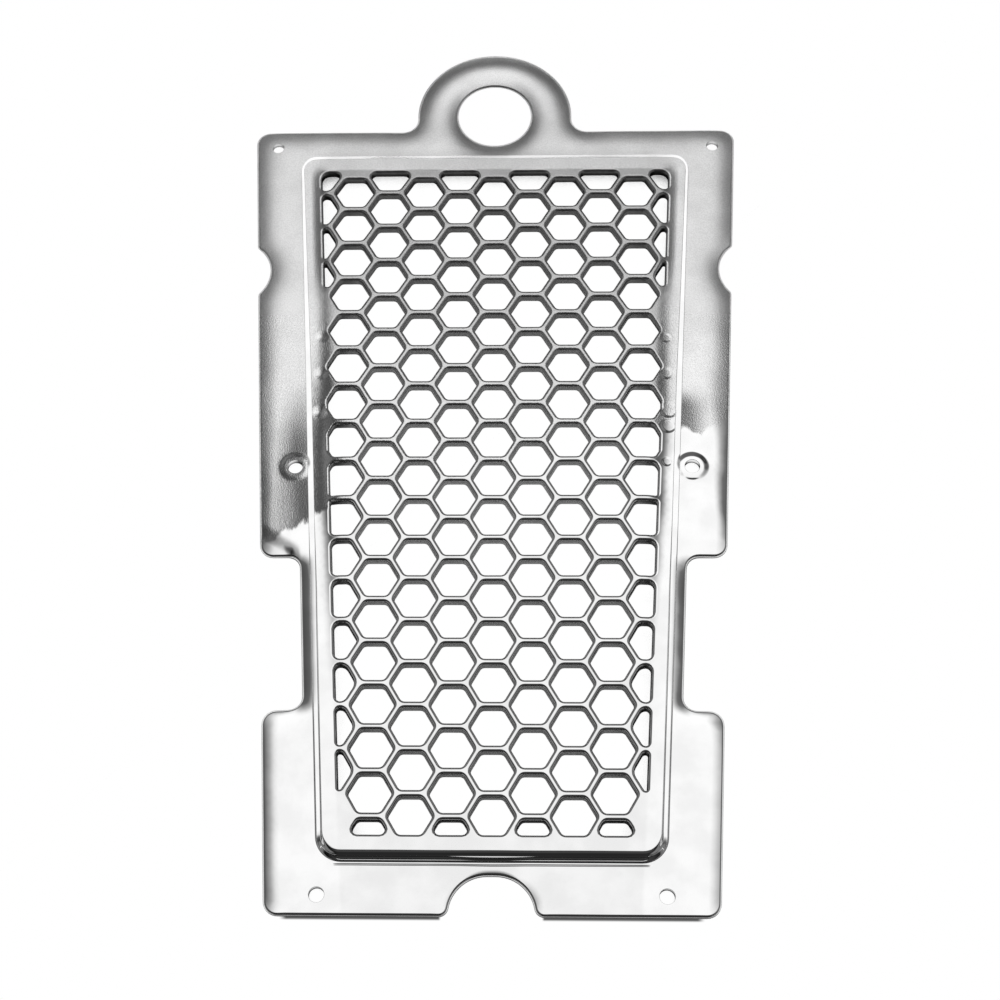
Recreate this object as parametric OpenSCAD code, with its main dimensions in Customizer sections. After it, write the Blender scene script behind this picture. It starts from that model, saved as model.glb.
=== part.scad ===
// Motorcycle radiator guard: one steel sheet, pressed and punched.
// A flat tapered flange carries the fixing holes and the ring tab, and the
// honeycomb is punched in a panel that stands proud of it.
// The underside of the flange is z = 0, the front face looks up, and the
// origin is in the middle of the outline.

/* [Outline] */
// Overall length, from the bottom edge to the top of the ring
length = 250; // [245:1:270]
// Width at the top edge of the flange
top_w = 134; // [128:1:150]
// Width at the bottom edge of the flange
bottom_w = 105; // [100:1:125]
// Thickness of the sheet
sheet_t = 1.6; // [1:0.1:1.7]
// Radius of the convex outer corners
corner_r = 3.6; // [2.6:0.2:4.4]
// Radius of the concave corners at the waist
inner_r = 3.2; // [2:0.2:3.6]

/* [Ring tab] */
// Bore of the ring
ring_bore = 20; // [16:0.5:26]
// Outer radius of the ring
ring_r = 21.6; // [18:0.2:23]
// Height of the ring's centre above the top edge
ring_rise = 5.7; // [3:0.1:9]
// Fillet between the ring and the top edge
ring_fillet = 4.4; // [2:0.2:5]

/* [Waist and notches] */
// How far the waist is set in from the edge of the flange
waist_inset = 10; // [6:0.1:10.6]
// Height of the waist's lower end above the bottom edge
waist_from = 50.2; // [44:0.2:56]
// Length of the waist
waist_l = 40.6; // [30:0.2:50]
// Radius of the round notches in the sides
side_notch_r = 9.7; // [7:0.1:12]
// Depth of the notches in the sides
side_notch_depth = 3.4; // [2:0.1:3.8]
// Distance of the side notches below the top edge
side_notch_drop = 46.5; // [40:0.5:60]
// Radius at the mouth of the side notches
side_notch_lip = 1.5; // [0.6:0.1:2]
// Radius of the arch in the bottom edge
arch_r = 9; // [6:0.2:9.2]
// Width of the flat at the top of the arch
arch_flat = 2; // [0:0.2:4]
// Height of the arch's centre above the bottom edge
arch_rise = 0.5; // [0:0.1:0.8]
// Radius at the mouth of the arch
arch_lip = 2.4; // [2:0.1:2.6]

/* [Screw holes] */
// Bore of the two holes at the top
top_hole_d = 3.2; // [2.5:0.1:4]
// Bore of the two holes at mid height
mid_hole_d = 3.8; // [2.5:0.1:4.4]
// Bore of the two holes at the bottom
bottom_hole_d = 3.6; // [2.5:0.1:4.4]
// Distance of the top holes from the side edge
top_hole_inset = 6.1; // [5:0.1:8]
// Distance of the middle holes from the side edge
mid_hole_inset = 9.35; // [8:0.05:9.5]
// Distance of the bottom holes from the side edge
bottom_hole_inset = 12.5; // [8:0.1:22]
// Distance of the top holes below the top edge
top_hole_drop = 6; // [5:0.1:8]
// Distance of the middle holes below the top edge
mid_hole_drop = 106.8; // [96:0.2:112]
// Distance of the bottom holes above the bottom edge
bottom_hole_rise = 4.8; // [4.6:0.1:7]

/* [Pressed panel] */
// Height that the panel stands above the flange
press_h = 3.5; // [2.5:0.1:4.5]
// Gap between the top edge of the flange and the foot of the step
step_from_top = 10.3; // [9:0.1:12]
// Gap between the bottom edge of the flange and the foot of the step
step_from_bottom = 11.9; // [11.2:0.1:14]
// Gap between the side edge of the flange and the foot of the step
step_inset = 12.2; // [12:0.1:15]
// Steepness of the step, in degrees from the flat
step_angle = 78; // [50:1:80]
// Outer radius of the bend at the top of the step
crest_r = 1.8; // [1.8:0.1:2.6]
// Front radius of the bend at the foot of the step
foot_r = 0.4; // [0.3:0.1:1]
// Corner radius of the step, at its foot
step_corner_r = 6.4; // [5:0.2:9]

/* [Honeycomb] */
// Distance between the centres of neighbouring openings
mesh_pitch = 11.03; // [9:0.01:14]
// Width of the bars between the openings
bar_w = 1.9; // [1.4:0.1:3]
// Radius in the corners of the openings
mesh_corner_r = 1.3; // [0.4:0.1:2]
// Plain border between the bend of the step and the openings, at the sides
border_side = 3.5; // [1.5:0.1:5]
// Plain border between the bend of the step and the openings, at the top
border_top = 4.2; // [1.5:0.1:6]
// Plain border between the bend of the step and the openings, at the bottom
border_bottom = 3.6; // [1.5:0.1:6]
// Distance of the lattice's top centre below the top edge of the flange
mesh_drop = 23.85; // [20:0.05:30]
// Smallest part of a cut opening that is still punched, in square millimetres
least_opening = 13.8; // [4:0.2:30]

/* [Hidden] */

bottom_y = -length / 2;
ring_y = length / 2 - ring_r;
top_y = ring_y - ring_rise;
taper = atan((top_w - bottom_w) / 2 / (top_y - bottom_y));
waist_y = bottom_y + waist_from;

// Half the width of the flange at a height
function half_w(y) = bottom_w / 2 + (y - bottom_y) * tan(taper);

// The step in section: its straight part, and how far it runs outwards
wall_l = (press_h - (crest_r + foot_r) * (1 - cos(step_angle))) / sin(step_angle);
step_run = (crest_r + foot_r) * sin(step_angle) + wall_l * cos(step_angle);

// Foot of the step, and the centres of its corner arcs on the right
foot_top = top_y - step_from_top;
foot_bottom = bottom_y + step_from_bottom;
function foot_half(y) = half_w(y) - step_inset / cos(taper);
function corner_centre(y) = [foot_half(y) - step_corner_r / cos(taper), y];
top_centre = corner_centre(foot_top - step_corner_r);
bottom_centre = corner_centre(foot_bottom + step_corner_r);

// Flat sheet that the step shares with the panel and with the flange
lap = 1;

function mirrored(p) = [-p[0], p[1]];
function reversed(pts) = [for (i = [len(pts) - 1:-1:0]) pts[i]];
function towards(angle) = [cos(angle), sin(angle)];
function angle_of(v) = atan2(v[1], v[0]);

// Points of an arc from one angle to another, a step apart at most
function arc(c, r, from, to, step = 9) =
    let (n = max(1, ceil(abs(to - from) / step)))
        [for (i = [0:n]) c + r * towards(from + (to - from) * i / n)];

// Arc that rounds the corner p between a and b, shrunk where an edge is short.
// The outline runs counter-clockwise, so a hollow corner turns the other way.
function fillet(a, p, b, r, step = 9) =
    let (
        u = a - p,
        v = b - p,
        ways = u / norm(u) + v / norm(v),
        half = acos(norm(ways) / 2),
        fit = min(r, tan(half) * min(norm(u), norm(v)) / 2),
        c = p + ways / norm(ways) * fit / sin(half),
        from = angle_of(p + u / norm(u) * fit / tan(half) - c),
        turn = cross(v, u) > 0 ? 180 - 2 * half : 2 * half - 180
    )
        arc(c, fit, from, from + turn, step);

// Centre of a fillet between a circle and the line where n * p = d:
// it lies r from the line and r from the circle, to the left or the right
function fillet_centre(c, circle_r, n, d, r, side) =
    let (gap = d - n * c)
        c + n * gap + [n[1], -n[0]] * side * sqrt((circle_r + r) ^ 2 - gap ^ 2);

// Corners of the right side, from the bottom up
low_corner = [half_w(bottom_y), bottom_y];
low_shoulder = [half_w(waist_y), waist_y];
low_waist = low_shoulder - [waist_inset, 0];
high_shoulder = [half_w(waist_y + waist_l), waist_y + waist_l];
high_waist = high_shoulder - [waist_inset, 0];
top_corner = [half_w(top_y), top_y];

// Outward normal of the right edge, and how far out the edge lies along it
edge_n = towards(-taper);
edge_d = edge_n * low_corner;

// Arch, from the middle of its crown to the bottom edge
arch_c = [arch_flat / 2, bottom_y + arch_rise];
arch_lip_c = fillet_centre(arch_c, arch_r, [0, -1], -bottom_y - arch_lip, arch_lip, -1);
arch_end = angle_of(arch_lip_c - arch_c);
arch_side = concat(
    arc(arch_c, arch_r, 90, arch_end),
    arc(arch_lip_c, arch_lip, arch_end + 180, 270)
);

// Side notch, from below upwards
notch_y = top_y - side_notch_drop;
notch_c = [half_w(notch_y) - side_notch_depth + side_notch_r, notch_y];
function notch_lip_c(side) =
    fillet_centre(notch_c, side_notch_r, edge_n, edge_d - side_notch_lip, side_notch_lip, side);
notch_from = 360 + angle_of(notch_lip_c(1) - notch_c);
notch_to = angle_of(notch_lip_c(-1) - notch_c);
side_notch = concat(
    arc(notch_lip_c(1), side_notch_lip, -taper, notch_from - 180),
    arc(notch_c, side_notch_r, notch_from, notch_to),
    arc(notch_lip_c(-1), side_notch_lip, notch_to - 180, -taper)
);

// Ring tab, from the top edge to the top of the ring
ring_c = [0, ring_y];
ring_fillet_c = fillet_centre(ring_c, ring_r, [0, 1], top_y + ring_fillet, ring_fillet, 1);
ring_from = angle_of(ring_fillet_c - ring_c);
ring_side = concat(
    arc(ring_fillet_c, ring_fillet, 270, ring_from + 180),
    arc(ring_c, ring_r, ring_from, 90, 6)
);

right_side = concat(
    arch_side,
    fillet([0, bottom_y], low_corner, low_shoulder, corner_r),
    fillet(low_corner, low_shoulder, low_waist, corner_r),
    fillet(low_shoulder, low_waist, high_waist, inner_r),
    fillet(low_waist, high_waist, high_shoulder, inner_r),
    fillet(high_waist, high_shoulder, top_corner, corner_r),
    side_notch,
    fillet(high_shoulder, top_corner, [0, top_y], corner_r),
    ring_side
);
outline = concat(right_side, [for (p = reversed(right_side)) if (p[0] > 0) mirrored(p)]);

// Section of the step: x runs outwards from its foot and y is the height.
// The front face comes first, from the panel out, and the back face returns.
bend_step = 20;
crest_c = [-step_run, press_h + sheet_t - crest_r];
foot_c = [0, sheet_t + foot_r];
step_section = concat(
    [[-step_run - lap, press_h + sheet_t]],
    arc(crest_c, crest_r, 90, 90 - step_angle, bend_step),
    arc(foot_c, foot_r, 270 - step_angle, 270, bend_step),
    [[lap, sheet_t], [lap, 0]],
    arc(foot_c, foot_r + sheet_t, 270, 270 - step_angle, bend_step),
    arc(crest_c, crest_r - sheet_t, 90 - step_angle, 90, bend_step),
    [[-step_run - lap, press_h]]
);

// Stations round the step: a corner's centre and the way that the step faces
corner_steps = 6;
function stations(c, from, to) =
    [for (i = [0:corner_steps]) [c, from + (to - from) * i / corner_steps]];
step_stations = concat(
    stations(top_centre, -taper, 90),
    stations(mirrored(top_centre), 90, 180 + taper),
    stations(mirrored(bottom_centre), 180 + taper, 270),
    stations(bottom_centre, 270, 360 - taper)
);

// A point at a station, so far out from the foot of the step
function at_station(st, out) = st[0] + (step_corner_r + out) * towards(st[1]);

// Keeps the part of a convex outline behind the line where n * p = d
function cut(pts, n, d) = [
    for (i = [0:len(pts) - 1])
        let (p = pts[i], q = pts[(i + 1) % len(pts)], a = n * p - d, b = n * q - d)
            each concat(a <= 0 ? [p] : [], a * b < 0 ? [p + (q - p) * a / (a - b)] : [])
];

// Area of an outline, and 0 where the cuts have left none
function area(pts) = len(pts) < 3 ? 0 :
    [for (i = [0:len(pts) - 1]) cross(pts[i], pts[(i + 1) % len(pts)]) / 2]
    * [for (p = pts) 1];

// An opening with every corner taken off by the chord of its round
function rounded(pts, r) =
    let (n = len(pts))
        [for (i = [0:n - 1]) each fillet(pts[(i + n - 1) % n], pts[i], pts[(i + 1) % n], r, 60)];

// Limits of the openings: the flat of the panel less its plain border
mesh_top = foot_top - step_run - border_top;
mesh_bottom = foot_bottom + step_run + border_bottom;
side_d = edge_d - step_inset - step_run - border_side;
function clipped(pts) =
    cut(cut(cut(cut(pts, edge_n, side_d), mirrored(edge_n), side_d),
            [0, 1], mesh_top), [0, -1], -mesh_bottom);

// Openings of the honeycomb: whole hexagons, cut where the border begins
col_pitch = mesh_pitch * sqrt(3) / 2;
opening_r = (mesh_pitch - bar_w) / sqrt(3);
cols = ceil(top_w / 2 / col_pitch);
rows = ceil(length / mesh_pitch);
function hexagon(c) = [for (a = [0:60:300]) c + opening_r * towards(a)];
function cell(i, j) =
    [i * col_pitch, top_y - mesh_drop - (j + (i % 2 == 0 ? 0 : 0.5)) * mesh_pitch];
openings = [
    for (i = [-cols:cols], j = [-2:rows])
        let (pts = clipped(hexagon(cell(i, j))))
            if (area(pts) > least_opening) rounded(pts, mesh_corner_r)
];

// A pair of round holes, left and right
module hole_pair(d, inset, y) {
    for (side = [1, -1])
        translate([side * (half_w(y) - inset), y]) circle(d = d, $fn = 48);
}

// Flat flange round the step, with the ring tab and the screw holes
module flange() {
    linear_extrude(sheet_t) difference() {
        polygon(outline);
        polygon([for (st = step_stations) at_station(st, lap / 2)]);
        translate(ring_c) circle(d = ring_bore, $fn = 120);
        hole_pair(top_hole_d, top_hole_inset, top_y - top_hole_drop);
        hole_pair(mid_hole_d, mid_hole_inset, top_y - mid_hole_drop);
        hole_pair(bottom_hole_d, bottom_hole_inset, bottom_y + bottom_hole_rise);
    }
}

// Step that carries the panel, swept round its rounded corners
module step() {
    m = len(step_section);
    n = len(step_stations);
    polyhedron(
        points = [
            for (st = step_stations, q = step_section)
                concat(at_station(st, q[0]), q[1])
        ],
        faces = [
            for (k = [0:n - 1], j = [0:m - 1])
                let (a = k * m, b = (k + 1) % n * m, next = (j + 1) % m)
                    [a + j, b + j, b + next, a + next]
        ]
    );
}

// Raised panel with its honeycomb
module panel() {
    translate([0, 0, press_h]) linear_extrude(sheet_t) difference() {
        polygon([for (st = step_stations) at_station(st, -step_run - lap / 2)]);
        for (pts = openings) polygon(pts);
    }
}

module radiator_guard() {
    color("silver") {
        flange();
        step();
        panel();
    }
}

radiator_guard();
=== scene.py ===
# A motorcycle radiator guard, one pressed and punched sheet, lying on a white table
import bpy
import numpy as np
from mathutils import Matrix, Vector
from mathutils.geometry import delaunay_2d_cdt


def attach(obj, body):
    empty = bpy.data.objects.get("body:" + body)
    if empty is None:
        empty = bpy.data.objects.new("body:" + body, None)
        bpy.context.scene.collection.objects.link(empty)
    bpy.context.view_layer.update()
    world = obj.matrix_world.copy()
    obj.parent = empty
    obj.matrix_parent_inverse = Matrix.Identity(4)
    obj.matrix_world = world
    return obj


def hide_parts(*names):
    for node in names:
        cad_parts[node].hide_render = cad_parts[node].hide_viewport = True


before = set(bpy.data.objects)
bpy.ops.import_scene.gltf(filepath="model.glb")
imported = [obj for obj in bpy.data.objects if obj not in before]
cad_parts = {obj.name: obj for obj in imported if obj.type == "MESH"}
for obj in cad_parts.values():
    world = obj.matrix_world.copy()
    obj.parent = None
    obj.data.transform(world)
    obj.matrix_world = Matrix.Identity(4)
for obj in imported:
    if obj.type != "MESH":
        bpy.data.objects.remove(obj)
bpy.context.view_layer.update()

mm = 0.001

# The sheet's plan and section, in millimetres. Insets, rises, drops and depths are measured
# from the nearest straight edge.
sheet = {
    "length": 250.0,
    "topWidth": 134.0,
    "bottomWidth": 105.0,
    "thickness": 1.6,
    "convexRadius": 3.6,
    "concaveRadius": 3.2,
    "ringBore": 20.5,
    "ringRadius": 21.6,
    "ringRise": 5.7,
    "ringFillet": 4.4,
    "waistInset": 10.0,
    "waistFrom": 50.2,
    "waistLength": 40.6,
    "notchRadius": 9.7,
    "notchDepth": 3.4,
    "notchDrop": 46.5,
    "notchLip": 1.5,
    "archRadius": 9.0,
    "archFlat": 2.0,
    "archRise": 0.5,
    "archLip": 2.4,
}

# How far a punched edge is rounded, in millimetres: back over the face, down from it, and at the sheet's back
edgeRounds = {"outline": (0.7, 0.7, 0.2), "hole": (0.1, 0.15, 0.1)}

# Screw holes: bore, spacing and height, in millimetres
screwHoles = [
    {"bore": 3.2, "span": 121.0, "y": 91.7},
    {"bore": 3.8, "span": 101.4, "y": -9.1},
    {"bore": 3.6, "span": 80.6, "y": -120.2},
]

# The pressed step round the panel, in millimetres and degrees. Along the bottom it is one wall between
# two soft bends; above sharpTo a flat ledge parts it in two risers, and its pairs say how much of each
# there is at which place up the sheet.
step = {
    "height": 3.5,
    "fromTop": 11.3,
    "fromBottom": 12.4,
    "inset": 12.45,
    "angle": 78.0,
    "crestRadius": 1.8,
    "sharpRadius": 0.3,
    "ledgeHeights": ((81, 1.75), (86, 3.2)),
    "ledgeWidths": ((-100, 0.8), (-50, 1.0), (-25, 1.35), (15, 1.35), (60, 0.8), (82, 0.65), (86, 0.95)),
    "riserWidths": ((-100, 0.62), (-45, 0.5), (-25, 0.24)),
    "sharpFrom": -112.0,
    "sharpTo": -106.0,
    "innerRadius": 0.1,
    "footRadius": 0.25,
    "cornerRadius": 6.4,
    "topCornerRadius": 4.4,
}

# A riser of the step from its top down, as shares of its height and its width, and the way that it faces
riserShape = {
    "fall": (0, 0.04, 0.1, 0.5, 0.9, 0.97, 1.0),
    "run": (0, 0.2, 0.4, 0.5, 0.6, 0.8, 1.0),
    "facing": ((0, 1), (0.6, 0.8), (0.97, 0.2), (0.97, 0.2), (0.97, 0.2), (0.6, 0.8), (0, 1)),
}

# The punched honeycomb, in millimetres
honeycomb = {
    "pitch": 11.03,
    "bar": 1.9,
    "cornerRadius": 1.3,
    "fromSide": 18.23,     # the openings keep this far from the sheet's edges
    "fromTop": 17.03,
    "fromBottom": 18.03,
    "drop": 23.85,         # from the top edge to the middle of the first whole row
    "columns": 8,          # tried either side of the middle one
    "rows": (-2, 24),
    "leastArea": 13.8,
    "tipArea": 34.0,       # openings smaller than this have rounder corners,
    "tipColumn": 4,        # from this column outwards
    "tipRadius": 2.6,
    "rollWidth": 0.89,     # how far the drawn rim of an opening rolls back on the face, and how deep
    "rollDepth": 0.95,
    "lipDepth": 0.7,       # how far the rim is drawn through below the back of the sheet
    "lipWidth": 0.35,
    "lipRound": 0.08,
    "lipSlope": 0.1,
    "aside": 0.12,         # how far the punching missed its place, aside and, by height, upwards
    "upwards": ((-90, 0.15), (0, -0.42), (40, -0.42), (90, -0.2)),
}

# How finely the surface is drawn, in millimetres, degrees and segments
detail = {
    "spacing": 1.6,
    "openingSpacing": 2.0,
    "ringSpacing": 1.2,
    "holeSpacing": 0.5,
    "arcShare": 0.6,       # the spacing on an arc, as a share of that on a line
    "arcTurn": 12,
    "joined": 0.02,        # arcs that end nearer together than this share the point
    "fill": 1.5,
    "fillClear": 0.62,     # how far the fill keeps from an edge, as a share of its spacing
    "weld": 1e-7,
    "rollSteps": 6,
    "backSteps": 2,
    "holeSteps": 3,
    "cornerSteps": 4,
    "bendSteps": 8,
    "stepCornerSteps": 10,
}


def towards(angle):
    return np.array([np.cos(np.radians(angle)), np.sin(np.radians(angle))])


def angleOf(v):
    return np.degrees(np.arctan2(v[1], v[0]))


# A corner's round, as an arc (centre, radius, from, to): its centre lies on the bisector,
# and it turns left where the outline is convex and right where it is hollow
def fillet(a, p, b, radius):
    u, v = a - p, b - p
    u, v = u / np.linalg.norm(u), v / np.linalg.norm(v)
    room = min(np.linalg.norm(a - p), np.linalg.norm(b - p)) / 2
    way = u + v
    half = np.arccos(np.linalg.norm(way) / 2)
    fit = min(radius, np.tan(half) * room)
    centre = p + way / np.linalg.norm(way) * fit / np.sin(half)
    start = angleOf(p + u * fit / np.tan(half) - centre)
    turn = (180 - 2 * np.degrees(half)) * (1 if v[0] * u[1] - v[1] * u[0] > 0 else -1)
    return (centre, fit, start, start + turn)


# Centre of a fillet between a circle and the line where n * p = d
def filletCentre(centre, circleRadius, n, d, radius, side):
    gap = d - n @ centre
    along = np.array([n[1], -n[0]]) * side
    return centre + n * gap + along * np.sqrt((circleRadius + radius) ** 2 - gap ** 2)


# Points along a closed run of arcs joined by straight lines, moved to the left by offset,
# with the way out of the shape at each. The count stays the same for every offset.
def tracePath(arcs, spacing, offset=0.0, arcSteps=None):
    points, ways = [], []
    for k, (centre, radius, start, end) in enumerate(arcs):
        byLength = np.ceil(abs(np.radians(end - start)) * radius / (spacing * detail["arcShare"]))
        n = arcSteps or max(2, int(byLength), int(abs(end - start) / detail["arcTurn"]))
        sign = 1 if end > start else -1
        a = np.radians(np.linspace(start, end, n + 1))
        way = np.stack([np.cos(a), np.sin(a)], 1)
        points.append(centre + way * (radius - sign * offset))
        ways.append(way * sign)
        nextCentre, nextRadius, nextStart, nextEnd = arcs[(k + 1) % len(arcs)]
        exitPoint = centre + towards(end) * radius
        entryPoint = nextCentre + towards(nextStart) * nextRadius
        m = int(np.ceil(np.linalg.norm(entryPoint - exitPoint) / spacing))
        if m > 1:
            s = np.linspace(0, 1, m + 1)[1:-1, None]
            nextSign = 1 if nextEnd > nextStart else -1
            a0 = points[-1][-1]
            a1 = nextCentre + towards(nextStart) * (nextRadius - nextSign * offset)
            points.append(a0 + (a1 - a0) * s)
            ways.append(np.repeat(ways[-1][-1:], m - 1, 0))
        elif np.linalg.norm(entryPoint - exitPoint) < detail["joined"]:
            points[-1], ways[-1] = points[-1][:-1], ways[-1][:-1]
    return np.concatenate(points), np.concatenate(ways)


# The same arc on the other side of the middle line
def mirrorArc(arc):
    centre, radius, start, end = arc
    return (centre * [-1, 1], radius, 180 - end, 180 - start)


bottomY = -sheet["length"] / 2
ringY = sheet["length"] / 2 - sheet["ringRadius"]
topY = ringY - sheet["ringRise"]
taper = np.degrees(np.arctan((sheet["topWidth"] - sheet["bottomWidth"]) / 2 / (topY - bottomY)))
waistY = bottomY + sheet["waistFrom"]
edgeNormal = towards(-taper)


def halfWidth(y):
    return sheet["bottomWidth"] / 2 + (y - bottomY) * np.tan(np.radians(taper))


# The outline's arcs, counter-clockwise from the crown of the arch
def outlineArcs():
    lowCorner = np.array([halfWidth(bottomY), bottomY])
    edgeDistance = edgeNormal @ lowCorner
    lowShoulder = np.array([halfWidth(waistY), waistY])
    highShoulder = np.array([halfWidth(waistY + sheet["waistLength"]), waistY + sheet["waistLength"]])
    inset = np.array([sheet["waistInset"], 0])
    topCorner = np.array([halfWidth(topY), topY])
    archCentre = np.array([sheet["archFlat"] / 2, bottomY + sheet["archRise"]])
    lip, notchLip, ringFillet = sheet["archLip"], sheet["notchLip"], sheet["ringFillet"]
    archLip = filletCentre(archCentre, sheet["archRadius"], np.array([0, -1.0]), -bottomY - lip, lip, -1)
    archEnd = angleOf(archLip - archCentre)
    notchY = topY - sheet["notchDrop"]
    notchCentre = np.array([halfWidth(notchY) - sheet["notchDepth"] + sheet["notchRadius"], notchY])
    lipLine = edgeDistance - notchLip
    lowLip = filletCentre(notchCentre, sheet["notchRadius"], edgeNormal, lipLine, notchLip, 1)
    highLip = filletCentre(notchCentre, sheet["notchRadius"], edgeNormal, lipLine, notchLip, -1)
    notchStart = 360 + angleOf(lowLip - notchCentre)
    notchEnd = angleOf(highLip - notchCentre)
    ringCentre = np.array([0, ringY])
    lipLine = topY + ringFillet
    ringLip = filletCentre(ringCentre, sheet["ringRadius"], np.array([0, 1.0]), lipLine, ringFillet, 1)
    ringStart = angleOf(ringLip - ringCentre)
    rightSide = [
        (archCentre, sheet["archRadius"], 90, archEnd),
        (archLip, lip, archEnd + 180, 270),
        fillet(np.array([0, bottomY]), lowCorner, lowShoulder, sheet["convexRadius"]),
        fillet(lowCorner, lowShoulder, lowShoulder - inset, sheet["convexRadius"]),
        fillet(lowShoulder, lowShoulder - inset, highShoulder - inset, sheet["concaveRadius"]),
        fillet(lowShoulder - inset, highShoulder - inset, highShoulder, sheet["concaveRadius"]),
        fillet(highShoulder - inset, highShoulder, topCorner, sheet["convexRadius"]),
        (lowLip, notchLip, -taper, notchStart - 180),
        (notchCentre, sheet["notchRadius"], notchStart, notchEnd),
        (highLip, notchLip, notchEnd - 180, -taper),
        fillet(highShoulder, topCorner, np.array([0, topY]), sheet["convexRadius"]),
        (ringLip, ringFillet, 270, ringStart + 180),
        (ringCentre, sheet["ringRadius"], ringStart, 90),
    ]
    return rightSide + [mirrorArc(a) for a in rightSide[::-1]]


print("outline:", len(outlineArcs()), "arcs")


# The part of a convex outline that lies behind the line where n * p = d
def cutBehind(points, n, d):
    kept = []
    for p, q in zip(points, np.roll(points, -1, 0)):
        a, b = n @ p - d, n @ q - d
        if a <= 0:
            kept.append(p)
        if a * b < 0:
            kept.append(p + (q - p) * a / (a - b))
    return np.array(kept).reshape(-1, 2)


def areaOf(points):
    if len(points) < 3:
        return 0.0
    x, y = points.T
    return 0.5 * float(np.sum(x * np.roll(y, -1) - y * np.roll(x, -1)))


# Run of the step in section, from its foot to the start of its crest
def stepRun(crestBend):
    across, up = towards(step["angle"])
    bends = crestBend + step["footRadius"]
    wallLength = (step["height"] - bends * (1 - across)) / up
    return bends * up + wallLength * across


footTop = topY - step["fromTop"]
footBottom = bottomY + step["fromBottom"]


# Openings of the honeycomb as runs of arcs: a lattice of hexagons, cut where the plain border begins,
# each corner rounded, and the slivers left out
def openingArcs():
    meshTop = topY - honeycomb["fromTop"]
    meshBottom = bottomY + honeycomb["fromBottom"]
    sideLine = edgeNormal @ np.array([halfWidth(bottomY), bottomY]) - honeycomb["fromSide"]
    missed = np.transpose(honeycomb["upwards"])
    radius = (honeycomb["pitch"] - honeycomb["bar"]) / np.sqrt(3)
    column = honeycomb["pitch"] * np.sqrt(3) / 2
    corners = np.stack([towards(a) for a in range(0, 360, 60)]) * radius
    found = []
    for i in range(-honeycomb["columns"], honeycomb["columns"] + 1):
        for j in range(*honeycomb["rows"]):
            y = topY - honeycomb["drop"] - (j + 0.5 * (i % 2)) * honeycomb["pitch"]
            points = corners + [i * column, y]
            for n, d in ((edgeNormal, sideLine), (edgeNormal * [-1, 1], sideLine),
                         (np.array([0, 1.0]), meshTop), (np.array([0, -1.0]), -meshBottom)):
                if len(points):
                    points = cutBehind(points, n, d)
            if areaOf(points) > honeycomb["leastArea"]:
                points = points + [honeycomb["aside"], np.interp(y, *missed)]
                before, after = np.roll(points, 1, 0), np.roll(points, -1, 0)
                small = areaOf(points) < honeycomb["tipArea"] and abs(i) >= honeycomb["tipColumn"]
                bend = honeycomb["tipRadius"] if small else honeycomb["cornerRadius"]
                found.append([fillet(a, p, b, bend) for a, p, b in zip(before, points, after)])
    return found


# Section across a punched edge, from the face over the rolled rim, down the wall and round to the back:
# how far in from the edge, how high over the back, and the way that the surface faces
def edgeSection(width, depth, back, steps):
    thick = sheet["thickness"]
    a = np.radians(np.linspace(0, 90, steps + 1))
    b = np.radians(np.linspace(90, 0, detail["backSteps"] + 1))
    inward = np.concatenate([width * (1 - np.sin(a)), back * (1 - np.sin(b))])
    height = np.concatenate([thick - depth * (1 - np.cos(a)), back * (1 - np.cos(b))])
    out = np.concatenate([np.sin(a) / width, np.sin(b)])
    up = np.concatenate([np.cos(a) / depth, -np.cos(b)])
    size = np.hypot(out, up)
    return inward, height, out / size, up / size


# Section across the drawn rim of an opening: the rolled face, the wall down to the lip below the back,
# under the lip, and up its inner side to the back. The short lists are the lip's five points
# and roughly the way that each faces.
def lipSection(steps):
    width, depth = honeycomb["rollWidth"], honeycomb["rollDepth"]
    low, lip = -honeycomb["lipDepth"], honeycomb["lipWidth"]
    bend, slope = honeycomb["lipRound"], honeycomb["lipSlope"]
    a = np.radians(np.linspace(0, 90, steps + 1))
    inward = np.concatenate([width * (1 - np.sin(a)), [0, bend, lip, width - slope, width]])
    height = np.concatenate([sheet["thickness"] - depth * (1 - np.cos(a)), [low + bend, low, low, -slope, 0]])
    out = np.concatenate([np.sin(a) / width, [1, 0.5, -0.5, -0.5, 0]])
    up = np.concatenate([np.cos(a) / depth, [-0.3, -1, -1, -0.5, -1]])
    size = np.hypot(out, up)
    return inward, height, out / size, up / size


# Section of the step from the panel to the flange, front or back face: the bend at the crest,
# a straight wall, and the bend at the foot
def stepSection(front, crestBend):
    thick = sheet["thickness"]
    crest = np.array([-stepRun(crestBend), step["height"] + thick - crestBend])
    foot = np.array([0, thick + step["footRadius"]])
    crestRadius = crestBend
    if not front:    # the inside of the bend is all but sharp: its centre keeps the wall at full thickness
        wallWay = towards(90 - step["angle"])
        crestRadius = step["innerRadius"]
        centreHeight = step["height"] - crestRadius
        behind = wallWay @ crest + crestBend - thick - crestRadius
        crest = np.array([(behind - wallWay[1] * centreHeight) / wallWay[0], centreHeight])
    footRadius = step["footRadius"] + (0 if front else thick)
    a = np.radians(np.linspace(90, 90 - step["angle"], detail["bendSteps"] + 1))
    b = np.radians(np.linspace(270 - step["angle"], 270, detail["bendSteps"] + 1))
    crestWay = np.stack([np.cos(a), np.sin(a)], 1)
    footWay = np.stack([np.cos(b), np.sin(b)], 1)
    points = np.concatenate([crest + crestRadius * crestWay, foot + footRadius * footWay])
    normals = np.concatenate([crestWay, -footWay]) * (1 if front else -1)
    return points, normals


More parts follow.
